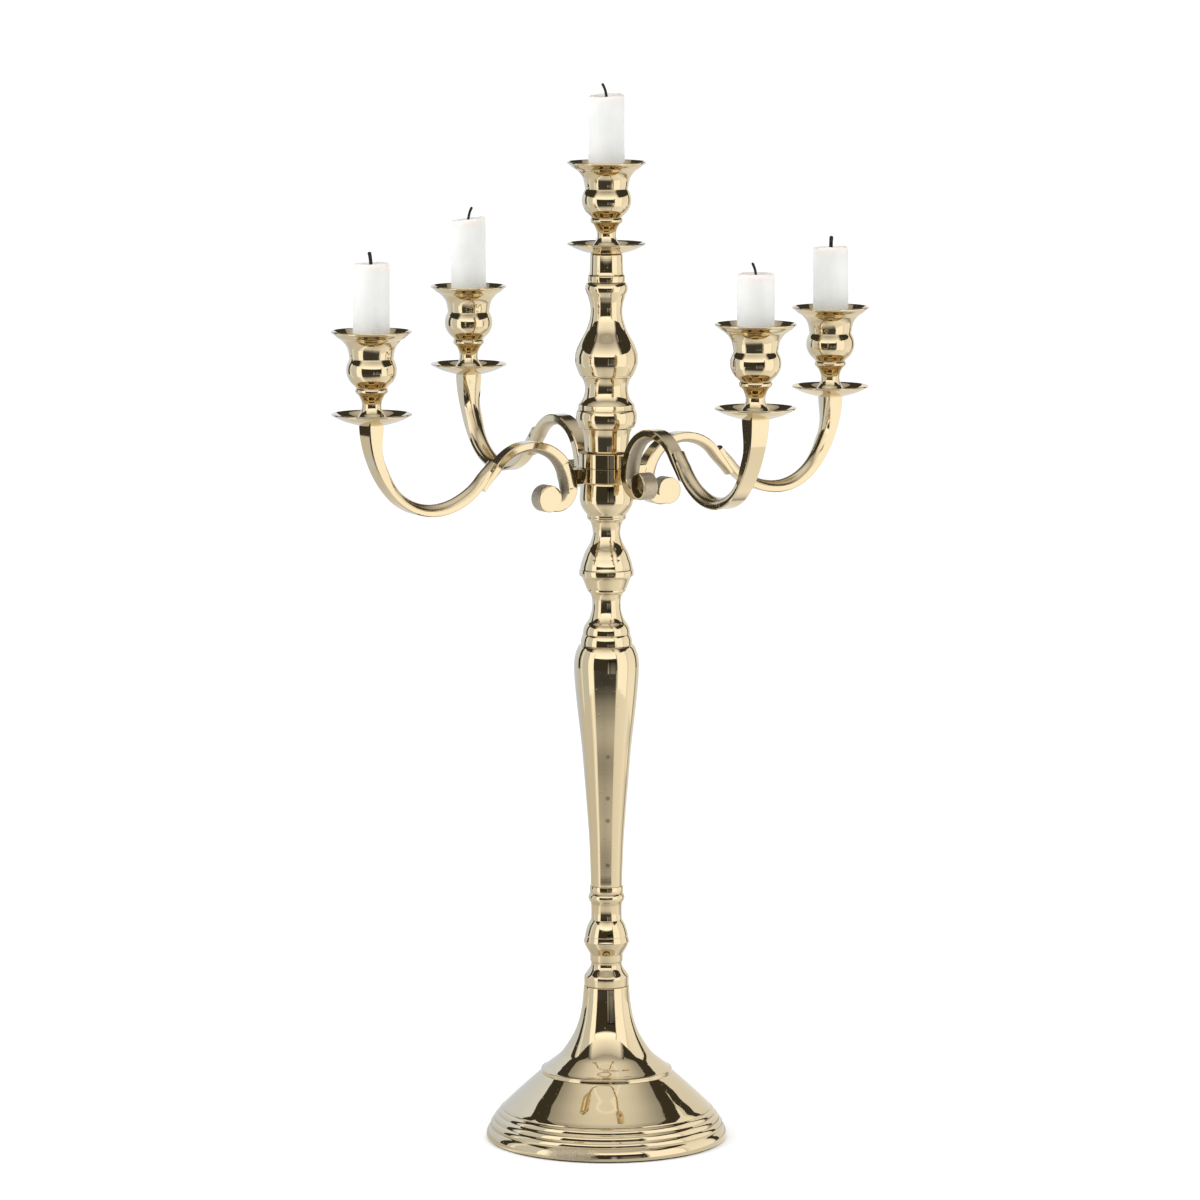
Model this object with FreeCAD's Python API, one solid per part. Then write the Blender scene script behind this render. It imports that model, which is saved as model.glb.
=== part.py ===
import FreeCAD
import Part
import math
import os

V = FreeCAD.Vector

# A five-light candelabra in cast, turned and plated metal. Millimetres, +Z up, origin at the
# middle of the underside. The lower pair of arms lies along X, the upper pair along Y.

# ---- driving sizes ----
base_radius = 73.9          # foot, over the rim band
foot_height = 95.0          # table to the joint between foot and stem
lower_stem_length = 62.0
baluster_length = 183.5
upper_knop_length = 44.0
hub_bowl_length = 21.4
ring_height = 8.8           # each arm ring
bell_length = 47.0
vase_length = 56.5
top_tube_length = 16.7
arm_reach = 163.5           # column axis to cup axis
ring_radius = 17.0          # arm rings, outside
stem_scale = 0.95           # girth of every turned stem section

# ---- cups, pans and candles ----
pan_radius = 23.9
pan_depth = 6.4             # edge down to the underside of the middle
pan_sheet = 1.2
pan_seat_radius = 8.5       # flat underside that rests on the arm or the stem
cup_height = 49.4           # pan edge to cup rim
cup_rim_radius = 23.9
cup_lip = 1.6
candle_radius = 11.0
candle_play = 0.3           # radial room round a candle
bore_floor_height = 21.0    # above the pan edge
candle_seat_gap = 0.1
wick_radius = 0.85
wick_height = 6.5
wick_depth = 6.0            # wick set into the wax
candle_above_rim = {"middle": 41.2, "left": 40.5, "back": 43.5, "front": 29.5, "right": 37.5}

# ---- rods, screws and fits ----
rod_radius = 4.0
sleeve_wall = 3.0
running_play = 0.05         # ring bore round the sleeve
ring_gap = 0.1              # between a ring and its neighbours
screw_radius = 2.5
washer_radius = 8.5
washer_height = 1.5
nut_across_flats = 13.0
nut_height = 6.5
felt_height = 1.0
felt_inset = 2.0
foot_wall = 3.0
thread_grip = 9.0           # rod end inside a piece
rod_gap = 8.0               # the top rod starts this far under the vase, clear of the hub rod
rod_end = 3.0               # rod standing out past its nut
foot_ceiling = 14.0         # solid metal over the washer
sleeve_grip = 8.0           # sleeve end inside the bowl and the bell
screw_grip = 12.0           # cup screw inside the arm
screw_into_cup = 8.0
screw_hole_room = 2.0       # blind room past a screw's tip
through = 1.0               # how far a cutting tool passes a face

# ---- scroll arms, seen from the side: s is out from the column, h is up from the ring's middle ----
drawn_reach = 163.5         # reach that the scroll lines below are drawn for; they spread with arm_reach
arch_radius = 31.3          # top line of the first scroll
arch_centre = (54.5, -8.3)
heel_height = -6.5          # where the hub side starts to turn under
slope_angle = 53.0          # fall of the arm between the scrolls
slope_run = 17.0            # straight stretch of the first scroll past the arch
heel_radius = 14.0          # turn under the arch, back to the scroll end
ball_radius = 8.2
ball_width = 9.6
ball_out = 5.4              # ball's centre past the heel's
valley_depth = 18.1         # lowest line of the arm, under the ring's middle
valley_inner_radius = 45.3  # column side of the second scroll
valley_outer_radius = 38.8
valley_turn = 46.5          # degrees of the outer valley arc
upright_radius = 66.0
spur_lead = 12.5            # how far up the slope the second scroll starts
arm_bevel = 0.7
arm_end_depth = 10.6        # under the pan, in and out
arm_end_width = 13.2
arm_seat_height = 38.9      # pan seat above the ring's middle
lug_width = 9.0
lug_overlap = 4.0           # lug into the scroll

# ---- heights that follow ----
stem_foot = foot_height
baluster_foot = stem_foot + lower_stem_length
knop_foot = baluster_foot + baluster_length
bowl_foot = knop_foot + upper_knop_length
lower_ring_foot = bowl_foot + hub_bowl_length + ring_gap
upper_ring_foot = lower_ring_foot + ring_height + ring_gap
bell_foot = upper_ring_foot + ring_height + ring_gap
vase_foot = bell_foot + bell_length
tube_foot = vase_foot + vase_length
column_top = tube_foot + top_tube_length
washer_foot = foot_height - foot_ceiling - washer_height
nut_foot = washer_foot - nut_height
sleeve_foot = lower_ring_foot - ring_gap - sleeve_grip
sleeve_top = bell_foot + sleeve_grip
sleeve_radius = rod_radius + sleeve_wall
ring_bore = sleeve_radius + running_play
bore_radius = candle_radius + candle_play
arm_spread = arm_reach / drawn_reach
hub_side = (arch_centre[0] - arch_radius) * arm_spread      # column side of the first scroll


def outline(start, *moves):
    """Edges from start through moves: 2 numbers are a line's end, 4 an arc's middle and end,
    a list is a smooth curve through its points."""
    edges = []
    here = start
    for move in moves:
        if isinstance(move, list):
            points = [here] + move
            curve = Part.BSplineCurve()
            curve.interpolate([V(r, 0, z) for r, z in points])
            edges.append(curve.toShape())
            here = points[-1]
        elif len(move) == 4:
            middle, end = move[:2], move[2:]
            arc = Part.Arc(V(here[0], 0, here[1]), V(middle[0], 0, middle[1]), V(end[0], 0, end[1]))
            edges.append(arc.toShape())
            here = end
        else:
            edges.append(Part.LineSegment(V(here[0], 0, here[1]), V(move[0], 0, move[1])).toShape())
            here = move
    return edges, here


def turned(start, *moves):
    """A solid turned about Z from a closed outline of radius and height."""
    edges, end = outline(start, *moves)
    if math.dist(start, end) > 1e-6:
        edges.append(Part.LineSegment(V(end[0], 0, end[1]), V(start[0], 0, start[1])).toShape())
    face = Part.Face(Part.Wire(edges))
    solid = face.revolve(V(0, 0, 0), V(0, 0, 1), 360)
    return solid if solid.Volume > 0 else solid.reversed()


def rod(radius, foot, top):
    return Part.makeCylinder(radius, top - foot, V(0, 0, foot))


def remap(moves, radius_of, height_of):
    """The same moves with every radius and height passed through the two functions."""
    def changed(move):
        if isinstance(move, list):
            return [changed(point) for point in move]
        return tuple(radius_of(value) if i % 2 == 0 else height_of(value) for i, value in enumerate(move))

    return [changed(move) for move in moves]


def between(value, drawn_from, drawn_to, start, end):
    """Carries a drawn value from its drawn range onto the range that is wanted."""
    return start + (value - drawn_from) * (end - start) / (drawn_to - drawn_from)


def section(foot, length, *moves, girth=stem_scale):
    """A stem section with a rod hole. Its outline is drawn from height 0 and stretched to the length,
    and its radii are multiplied by girth."""
    drawn_length = moves[-1][-1]
    moves = remap(moves, lambda r: r * girth, lambda h: foot + h * length / drawn_length)
    return turned((rod_radius, foot), *moves, (rod_radius, foot + length))


# ---- foot ----
def make_foot():
    """Hollow bell foot: ridged rim, dome, step ring and a tall concave neck."""
    low = felt_height
    r = base_radius
    ceiling = foot_height - foot_ceiling
    step_radius, step_height, joint_radius = r - 34.4, 43.9, 13.95

    def neck_radius(radius):
        return between(radius, joint_radius, 39.5, joint_radius, step_radius)

    def neck_height(height):
        return between(height, step_height, 95.0, step_height, foot_height)

    def neck(*moves):
        return remap(moves, neck_radius, neck_height)

    outside = [
        (r - 0.6, low), (r, low + 1.0), [(r - 0.3, 4.2), (r - 1.0, 6.0), (r - 2.0, 7.4)], (r - 2.6, 8.0),
        (r - 2.9, 10.3, r - 4.5, 12.0), (r - 4.7, 12.2), (r - 5.35, 14.2, r - 7.1, 15.6), (r - 7.4, 15.8),
        (r - 8.1, 17.8, r - 10.0, 19.0), (r - 10.0, 19.6), (r - 12.3, 21.9),
        [(r - 17.4, 26.9), (r - 22.5, 31.6), (r - 27.6, 36.3), (r - 31.7, 39.9), (r - 33.3, 41.2)],
        (r - 33.7, 41.3), (r - 33.7, 43.2), (r - 33.9, 43.7, step_radius, step_height),
        neck((37.2, 45.2), (34.1, 47.7), (32.1, 49.1), (27.2, 53.8), (20.4, 64.5), (17.1, 72.9),
             (15.7, 79.1), (14.75, 85.3), (joint_radius, 95.0)),
    ]
    inside = [
        (rod_radius, foot_height), (rod_radius, ceiling), (washer_radius + 0.5, ceiling),
        neck((11.0, 74.0), (14.5, 64.9), (21.5, 54.0), (31.0, 44.0))
        + [(r - 34.4, 37.0), (r - 22.9, 27.0), (r - 11.9, 14.0)],
        (r - 3.6 - foot_wall, 8.0), (r - 3.6 - foot_wall, low),
    ]
    return turned(outside[0], *outside[1:], *inside)


def make_felt():
    return rod(base_radius - felt_inset, 0, felt_height)


def make_nut(foot):
    """A plain hexagon nut with its hole."""
    corner = nut_across_flats / 2 / math.cos(math.pi / 6)
    turns = [k * math.pi / 3 for k in range(7)]
    corners = [V(corner * math.cos(turn), corner * math.sin(turn), foot) for turn in turns]
    blank = Part.Face(Part.makePolygon(corners)).extrude(V(0, 0, nut_height))
    return blank.cut(rod(rod_radius, foot - through, foot + nut_height + through))


def make_washer(foot):
    disc = rod(washer_radius, foot, foot + washer_height)
    return disc.cut(rod(rod_radius, foot - through, foot + washer_height + through))


# ---- stem ----
def make_lower_stem():
    """Collar, waist, round knop, waist and small bead under the baluster."""
    return section(
        stem_foot, lower_stem_length,
        (14.0, 0.0), (14.45, 0.6), (14.45, 6.0), (13.9, 7.0),
        [(12.2, 9.2), (10.6, 11.4), (9.95, 13.2)], (9.95, 15.2), (10.6, 15.4), (10.6, 19.6),
        [(12.3, 22.4), (13.8, 25.0), (14.6, 27.2)], (14.75, 27.8, 14.6, 28.4), (13.8, 30.8),
        (13.9, 31.4), [(13.0, 34.8), (11.7, 38.3), (10.4, 40.6)], (9.9, 41.2), (9.85, 46.6), (9.95, 50.0),
        (10.3, 51.6), (10.9, 52.6), (11.7, 54.9, 10.9, 57.2), (10.4, 57.6), (10.8, 58.1), (10.8, 62.0),
    )


def make_baluster():
    """Long slender baluster, stepped at the shoulder."""
    return section(
        baluster_foot, baluster_length,
        (10.1, 0.0), (10.2, 1.4),
        [(10.3, 7.7), (11.1, 27.6), (12.5, 47.0), (14.2, 67.0), (16.0, 87.0), (18.4, 106.7), (20.0, 121.5),
         (20.9, 134.0), (20.5, 141.2), (19.0, 146.2), (17.7, 148.7)],
        (16.5, 148.9), (16.3, 152.2, 15.2, 155.5), (15.0, 155.7), (14.4, 160.0, 12.7, 162.7), (12.3, 163.0),
        [(10.8, 165.8), (9.5, 170.0), (9.13, 174.0), (9.5, 178.0), (10.6, 180.6)], (11.9, 181.6),
        (12.3, 182.3), (12.3, 183.5),
    )


def make_upper_knop():
    """Cone up to a banded edge, then a hollow neck."""
    return section(
        knop_foot, upper_knop_length,
        (12.9, 0.0), (13.6, 2.0), [(14.6, 4.3), (15.9, 6.9), (16.9, 7.9)], (17.5, 8.1), (17.5, 11.6),
        (16.9, 12.0), (16.6, 14.2), (15.9, 16.9), (15.2, 18.5),
        [(14.1, 21.5), (12.9, 24.0), (11.25, 26.5), (10.1, 28.9), (8.8, 33.5), (9.5, 38.7), (10.5, 41.2)],
        (12.0, 42.4), (12.6, 43.1), (12.6, 44.0),
    )


def make_hub_bowl():
    """Rounded cup-shaped section that carries the arm rings."""
    outside = section(
        bowl_foot, hub_bowl_length,
        (12.0, 0.0), (12.0, 1.4), [(14.2, 4.4), (15.7, 7.4), (16.3, 10.6), (16.1, 16.0), (15.6, 20.6)],
        (15.2, 21.4), girth=1.0,
    )
    return outside.cut(rod(sleeve_radius, sleeve_foot, lower_ring_foot + through))


def make_bell():
    """Tapered bell, two bulged bands and a hollow neck, standing on the upper ring."""
    bell = section(
        bell_foot, bell_length,
        (13.6, 0.0), (13.9, 0.6), [(14.3, 5.5), (15.1, 11.0), (16.6, 14.7)], (17.9, 15.4), (18.1, 15.7),
        (18.4, 16.3), (19.5, 20.6, 18.9, 25.4), (18.3, 25.8), (18.1, 26.2), (17.9, 29.2), (17.3, 29.7),
        [(16.0, 31.2), (14.5, 34.0), (13.7, 38.6), (14.6, 43.0), (16.4, 46.0)], (17.0, 46.4),
        (17.0, 47.0),
    )
    return bell.cut(rod(sleeve_radius, bell_foot - through, sleeve_top))


def make_vase():
    """Round vase body, thin neck, bead and collar."""
    return section(
        vase_foot, vase_length,
        (17.3, 0.0), [(18.8, 3.4), (20.0, 7.0), (20.1, 10.0), (20.0, 12.5), (18.9, 16.1), (17.2, 19.7),
                      (15.1, 23.4), (13.1, 27.0), (11.7, 30.6), (10.6, 34.3), (10.1, 38.7), (10.7, 43.4),
                      (11.7, 47.0)],
        (12.0, 48.0), (12.3, 48.7), (13.6, 52.3, 12.6, 55.9), (11.4, 56.1), (11.4, 56.5),
    )


def make_top_tube():
    """Collar and plain tube under the middle pan."""
    return section(
        tube_foot, top_tube_length,
        (11.9, 0.0), (11.9, 3.6), (11.0, 4.2), (10.7, 6.4), (10.4, 16.2), (10.0, 16.7),
    )


# ---- arms ----
def arc_points(centre, radius, start, stop, steps):
    """Stations on an arc of the arm's outer line, each with its inward normal; angles in degrees."""
    stations = []
    for k in range(steps + 1):
        angle = math.radians(start + (stop - start) * k / steps)
        out = (math.cos(angle), math.sin(angle))
        stations.append(((centre[0] + radius * out[0], centre[1] + radius * out[1]), (-out[0], -out[1])))
    return stations


def arm_section(station, width, depth, wall):
    """Closed wire across the arm: flat outer face, bevels, straight walls and a rounded inner side."""
    (s, h), (normal_s, normal_h) = station

    def at(u, v):
        return V(s + normal_s * v, u, h + normal_h * v)

    half = width / 2
    corners = [at(-half, arm_bevel + wall), at(-half, arm_bevel), at(-half + arm_bevel, 0),
               at(half - arm_bevel, 0), at(half, arm_bevel), at(half, arm_bevel + wall)]
    edges = [Part.LineSegment(a, b).toShape() for a, b in zip(corners, corners[1:])]
    edges.append(Part.Arc(corners[-1], at(0, depth), corners[0]).toShape())
    return Part.Wire(edges)


def blend_value(stops, position):
    """Value at position along stops of (position, value), eased between them."""
    for (p0, v0), (p1, v1) in zip(stops, stops[1:]):
        if position <= p1:
            t = (position - p0) / (p1 - p0)
            return v0 + (v1 - v0) * t * t * (3 - 2 * t)
    return stops[-1][1]


def scroll(stations, widths, depths, walls):
    """Loft through the spread stations; the stops give width, depth and wall along the run."""
    stations = [((s * arm_spread, h * arm_spread), normal) for (s, h), normal in stations]
    lengths = [0.0]
    for (a, _), (b, _) in zip(stations, stations[1:]):
        lengths.append(lengths[-1] + math.dist(a, b))
    wires = []
    for station, length in zip(stations, lengths):
        share = length / lengths[-1]
        wires.append(arm_section(station, blend_value(widths, share), blend_value(depths, share),
                                 blend_value(walls, share)))
    return Part.makeLoft(wires, True)


def make_first_scroll():
    """From the scroll end, under and up past the ring, over the arch and part way down the slope."""
    heel_centre = (arch_centre[0] - arch_radius + heel_radius, heel_height)
    stations = arc_points(heel_centre, heel_radius, 285, 180, 6)
    stations += arc_points(arch_centre, arch_radius, 180, 90 - slope_angle, 11)[1:]
    (s, h), normal = stations[-1]
    fall = math.radians(slope_angle)
    for k in (0.5, 1.0):
        run = slope_run * k
        stations.append(((s + run * math.cos(fall), h - run * math.sin(fall)), normal))
    return scroll(
        stations,
        widths=[(0, 9.6), (0.25, 9.6), (0.6, 10.0), (0.85, 9.0), (1, 8.6)],
        depths=[(0, 7.5), (0.14, 8.5), (0.25, 9.6), (0.5, 7.2), (0.62, 6.6), (0.85, 6.2), (1, 4.2)],
        walls=[(0, 5.0), (0.25, 5.0), (0.6, 3.4), (0.85, 3.0), (1, 1.8)],
    )


def valley_foot():
    """Lowest point of the arm's outer line, placed so that the upright ends under the cup."""
    first, second = math.radians(valley_turn), math.radians(90)
    reach = (valley_outer_radius * math.sin(first)
             + upright_radius * (math.sin(second) - math.sin(first)))
    outer_face = arm_end_depth / 2
    return ((arm_reach + outer_face) / arm_spread - reach, -valley_depth)


def make_second_scroll(top):
    """From the spur on the slope, round the valley and up to the shoulder under the pan."""
    s0, h0 = valley_foot()
    inner_centre = (s0, h0 + valley_inner_radius)
    outer_centre = (s0, h0 + valley_outer_radius)
    valley = arc_points(inner_centre, valley_inner_radius, 270 - slope_angle, 270, 6)
    (s, h), normal = valley[0]
    fall = math.radians(slope_angle)
    stations = []
    for k in (1.0, 0.5):
        lead = spur_lead * k
        stations.append(((s - lead * math.cos(fall), h + lead * math.sin(fall)), normal))
    stations += valley
    stations += arc_points(outer_centre, valley_outer_radius, 270, 270 + valley_turn, 5)[1:]
    (s, h), _ = stations[-1]
    turn = math.radians(valley_turn)
    upright_centre = (s - upright_radius * math.sin(turn), h + upright_radius * math.cos(turn))
    top = top / arm_spread
    rise = top - upright_centre[1]
    end_angle = 360 + math.degrees(math.asin(min(rise, 0) / upright_radius))
    upright = arc_points(upright_centre, upright_radius, 270 + valley_turn, end_angle, 6)[1:]
    if rise <= 0:
        upright.pop()
    stations += upright + [((upright_centre[0] + upright_radius, top), (-1.0, 0.0))]
    return scroll(
        stations,
        widths=[(0, 8.2), (0.2, 9.2), (0.5, 11.0), (0.8, 11.2), (1, arm_end_width)],
        depths=[(0, 4.8), (0.1, 6.6), (0.25, 7.2), (0.63, 7.0), (0.8, 8.4), (1, arm_end_depth)],
        walls=[(0, 2.4), (0.25, 1.8), (0.63, 2.4), (0.8, 5.2), (1, arm_end_depth - 1.6)],
    )


def make_arm(top):
    """One scroll arm along +X, heights from the ring's middle, ending in a flat seat for the pan."""
    first = make_first_scroll()
    second = make_second_scroll(top)
    ball_centre = V(hub_side + heel_radius * arm_spread + ball_out, 0,
                    (heel_height - heel_radius) * arm_spread + ball_radius)
    ball = Part.makeCylinder(ball_radius, ball_width, ball_centre - V(0, ball_width / 2, 0), V(0, 1, 0))
    ball = ball.makeFillet(arm_bevel, ball.Edges)
    lug_start = (ring_bore + ring_radius) / 2
    lug = Part.makeBox(hub_side + lug_overlap - lug_start, lug_width, ring_height,
                       V(lug_start, -lug_width / 2, -ring_height / 2))
    return first.multiFuse([second, ball, lug])


def make_arm_pair(ring_foot, arm):
    """Ring with two opposed arms, along X."""
    middle = ring_foot + ring_height / 2
    ring = rod(ring_radius, ring_foot, ring_foot + ring_height)
    near = arm.copy()
    near.translate(V(0, 0, middle))
    far = near.copy()
    far.rotate(V(0, 0, 0), V(0, 0, 1), 180)
    seat = middle + arm_seat_height
    holes = [rod(ring_bore, ring_foot - through, ring_foot + ring_height + through)]
    for side in (-1, 1):
        hole = rod(screw_radius, seat - screw_grip, seat + through)
        hole.translate(V(side * arm_reach, 0, 0))
        holes.append(hole)
    return ring.multiFuse([near, far]).cut(Part.makeCompound(holes)).removeSplitter()


# ---- lights ----
def make_pan(edge):
    """Shallow drip pan with a rolled edge and a hole for the screw."""
    foot = edge - pan_depth
    floor = foot + pan_sheet
    r = pan_radius
    hole = screw_radius

    def out(radius):
        return between(radius, 8.5, 23.2, pan_seat_radius, r - 0.7)

    under = remap([(10.2, 0.4), (13.0, 1.2), (16.0, 2.1), (19.0, 3.3), (21.4, 4.5), (23.2, 5.5)],
                  out, lambda h: between(h, 0.0, 5.5, foot, edge - 0.9))
    over = remap([(21.2, 6.0), (18.4, 4.5), (15.2, 3.0), (12.2, 1.9), (9.8, 1.2)],
                 out, lambda h: between(h, 1.2, 6.8, floor, edge + 0.4))
    return turned(
        (hole, foot), (pan_seat_radius, foot), under, (r, edge - 0.2, r - 0.6, edge + 0.4), over,
        (hole, floor),
    )


def make_cup(edge):
    """Candle cup: foot, neck, bead, bulb, waist and flared rim, bored for the candle.

    Its heights are drawn from the foot to the rim and stretched to fit. The bulb and the waist
    stand a wall outside the bore, and the flare runs from there to the rim."""
    foot = edge - pan_depth + pan_sheet
    floor = edge + bore_floor_height
    rim = edge + cup_height
    b, r = bore_radius, cup_rim_radius
    flare = (r - b) / 12.6
    screw_top = foot + screw_into_cup + screw_hole_room

    def raised(*moves):
        return remap(moves, lambda radius: radius, lambda h: between(h, 0.0, 54.6, foot, rim))

    outside = raised(
        (8.9, 0.9), [(8.5, 3.6), (6.9, 6.0), (5.8, 9.4), (6.1, 12.8), (7.4, 15.9)], (8.4, 17.1),
        (9.0, 17.5), (9.8, 19.1, 9.1, 20.7), (9.6, 21.3),
        [(b + 1.4, 24.5), (b + 3.3, 28.2), (b + 3.7, 31.4), (b + 3.3, 34.4), (b + 2.3, 36.8)],
        (b + 1.6, 38.1), (b + 1.9, 39.2),
        [(b + 2.3, 41.8), (b + 3.4, 45.3), (b + 6.4 * flare, 48.9), (r - 3.5, 50.7), (r - 1.0, 54.6 - cup_lip)],
        (r, 54.6 - cup_lip / 2, r - 0.5, 54.6),
        [(r - 4.1, 52.5), (b + 4.5 * flare, 49.4), (b + 1.6, 45.2), (b, 41.1)],
    )
    return turned(
        (screw_radius, foot), (8.9, foot), *outside,
        (bore_radius, floor), (0, floor), (0, screw_top), (screw_radius, screw_top),
    )


def make_candle(edge, above_rim):
    """Plain dinner candle, burned down, with a hole for its wick."""
    foot = edge + bore_floor_height + candle_seat_gap
    top = edge + cup_height + above_rim
    r = candle_radius
    body = turned((0, foot), (r - 0.6, foot), (r, foot + 0.6), (r, top - 1.2),
                  (r - 0.4, top - 0.4, r - 1.2, top), (0, top))
    return body.cut(rod(wick_radius, top - wick_depth, top + 1))


def make_wick(edge, above_rim):
    top = edge + cup_height + above_rim
    wick = rod(wick_radius, top - wick_depth, top + wick_height)
    return wick.makeFillet(0.4, [wick.Edges[0]])


lower_middle = lower_ring_foot + ring_height / 2
upper_middle = upper_ring_foot + ring_height / 2
arm = make_arm(arm_seat_height)

shapes = {
    "base_foot": make_foot(),
    "base_felt": make_felt(),
    "base_washer": make_washer(washer_foot),
    "base_nut": make_nut(nut_foot),
    "lower_rod": rod(rod_radius, nut_foot - rod_end, baluster_foot + thread_grip * 2),
    "lower_stem": make_lower_stem(),
    "baluster": make_baluster(),
    "upper_knop": make_upper_knop(),
    "hub_bowl": make_hub_bowl(),
    "hub_rod": rod(rod_radius, knop_foot - thread_grip * 2, vase_foot - thread_grip),
    "lower_arm_pair": make_arm_pair(lower_ring_foot, arm),
    "upper_arm_pair": make_arm_pair(upper_ring_foot, arm),
    "bell_section": make_bell(),
    "vase_section": make_vase(),
    "top_tube": make_top_tube(),
}
shapes["upper_arm_pair"].rotate(V(0, 0, 0), V(0, 0, 1), 90)
shapes["hub_sleeve"] = rod(sleeve_radius, sleeve_foot, sleeve_top).cut(rod(rod_radius, 0, column_top))

lights = {
    "middle": (0, 0, column_top),
    "left": (-arm_reach, 0, lower_middle + arm_seat_height),
    "right": (arm_reach, 0, lower_middle + arm_seat_height),
    "front": (0, -arm_reach, upper_middle + arm_seat_height),
    "back": (0, arm_reach, upper_middle + arm_seat_height),
}
for name, (x, y, seat) in lights.items():
    edge = pan_depth
    pieces = {
        "drip_pan_" + name: make_pan(edge),
        "candle_cup_" + name: make_cup(edge),
        "candle_" + name: make_candle(edge, candle_above_rim[name]),
        "wick_" + name: make_wick(edge, candle_above_rim[name]),
    }
    if name != "middle":
        pieces["cup_screw_" + name] = rod(screw_radius, -screw_grip, pan_sheet + screw_into_cup)
    for node, shape in pieces.items():
        shape.translate(V(x, y, seat))
        shapes[node] = shape
top_rod = rod(rod_radius, vase_foot - rod_gap, column_top)
top_screw = rod(screw_radius, column_top, column_top + pan_sheet + screw_into_cup)
shapes["top_rod"] = top_rod.fuse(top_screw)

os.makedirs("parts", exist_ok=True)
for node, shape in shapes.items():
    shape.exportStep("parts/" + node + ".step")
    print(node, shape.ShapeType, len(shape.Solids), shape.isValid(), round(shape.Volume))
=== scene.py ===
import bpy
import bmesh
import math
from mathutils import Matrix, Vector, noise


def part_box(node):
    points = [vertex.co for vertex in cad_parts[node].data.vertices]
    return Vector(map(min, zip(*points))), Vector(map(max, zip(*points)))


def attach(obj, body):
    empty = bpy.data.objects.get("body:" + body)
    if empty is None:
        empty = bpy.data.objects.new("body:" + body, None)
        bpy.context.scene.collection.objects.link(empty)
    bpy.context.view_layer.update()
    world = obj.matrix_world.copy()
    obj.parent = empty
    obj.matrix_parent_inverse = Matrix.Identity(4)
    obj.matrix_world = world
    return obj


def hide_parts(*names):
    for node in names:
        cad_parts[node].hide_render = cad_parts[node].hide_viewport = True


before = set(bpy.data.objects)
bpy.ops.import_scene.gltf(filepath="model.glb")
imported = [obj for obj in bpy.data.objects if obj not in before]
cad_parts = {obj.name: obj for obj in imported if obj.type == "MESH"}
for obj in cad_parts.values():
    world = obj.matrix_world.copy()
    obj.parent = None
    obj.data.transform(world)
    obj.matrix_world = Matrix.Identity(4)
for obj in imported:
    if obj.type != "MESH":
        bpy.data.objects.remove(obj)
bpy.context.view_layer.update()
mm = 0.001

# the side that the camera sees, as directions on the table
viewAzimuth = math.radians(-32)
towardCamera = Vector((math.sin(viewAzimuth), -math.cos(viewAzimuth), 0))
towardRight = Vector((math.cos(viewAzimuth), math.sin(viewAzimuth), 0))


# a shader socket, wrapped so that expressions add math nodes
class Wire:
    def __init__(self, tree, socket):
        self.tree = tree
        self.socket = socket

    def math(self, operation, *others):
        return self.tree.add("ShaderNodeMath", {"operation": operation}, [self, *others])

    def mathAfter(self, operation, first):
        return self.tree.add("ShaderNodeMath", {"operation": operation}, [first, self])

    def __add__(self, other):
        return self.math("ADD", other)

    def __radd__(self, other):
        return self.math("ADD", other)

    def __sub__(self, other):
        return self.math("SUBTRACT", other)

    def __rsub__(self, other):
        return self.mathAfter("SUBTRACT", other)

    def __mul__(self, other):
        return self.math("MULTIPLY", other)

    def __rmul__(self, other):
        return self.math("MULTIPLY", other)

    def __truediv__(self, other):
        return self.math("DIVIDE", other)

    def __rtruediv__(self, other):
        return self.mathAfter("DIVIDE", other)

    def atLeast(self, other):
        return self.math("MAXIMUM", other)

    def atMost(self, other):
        return self.math("MINIMUM", other)


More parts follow.
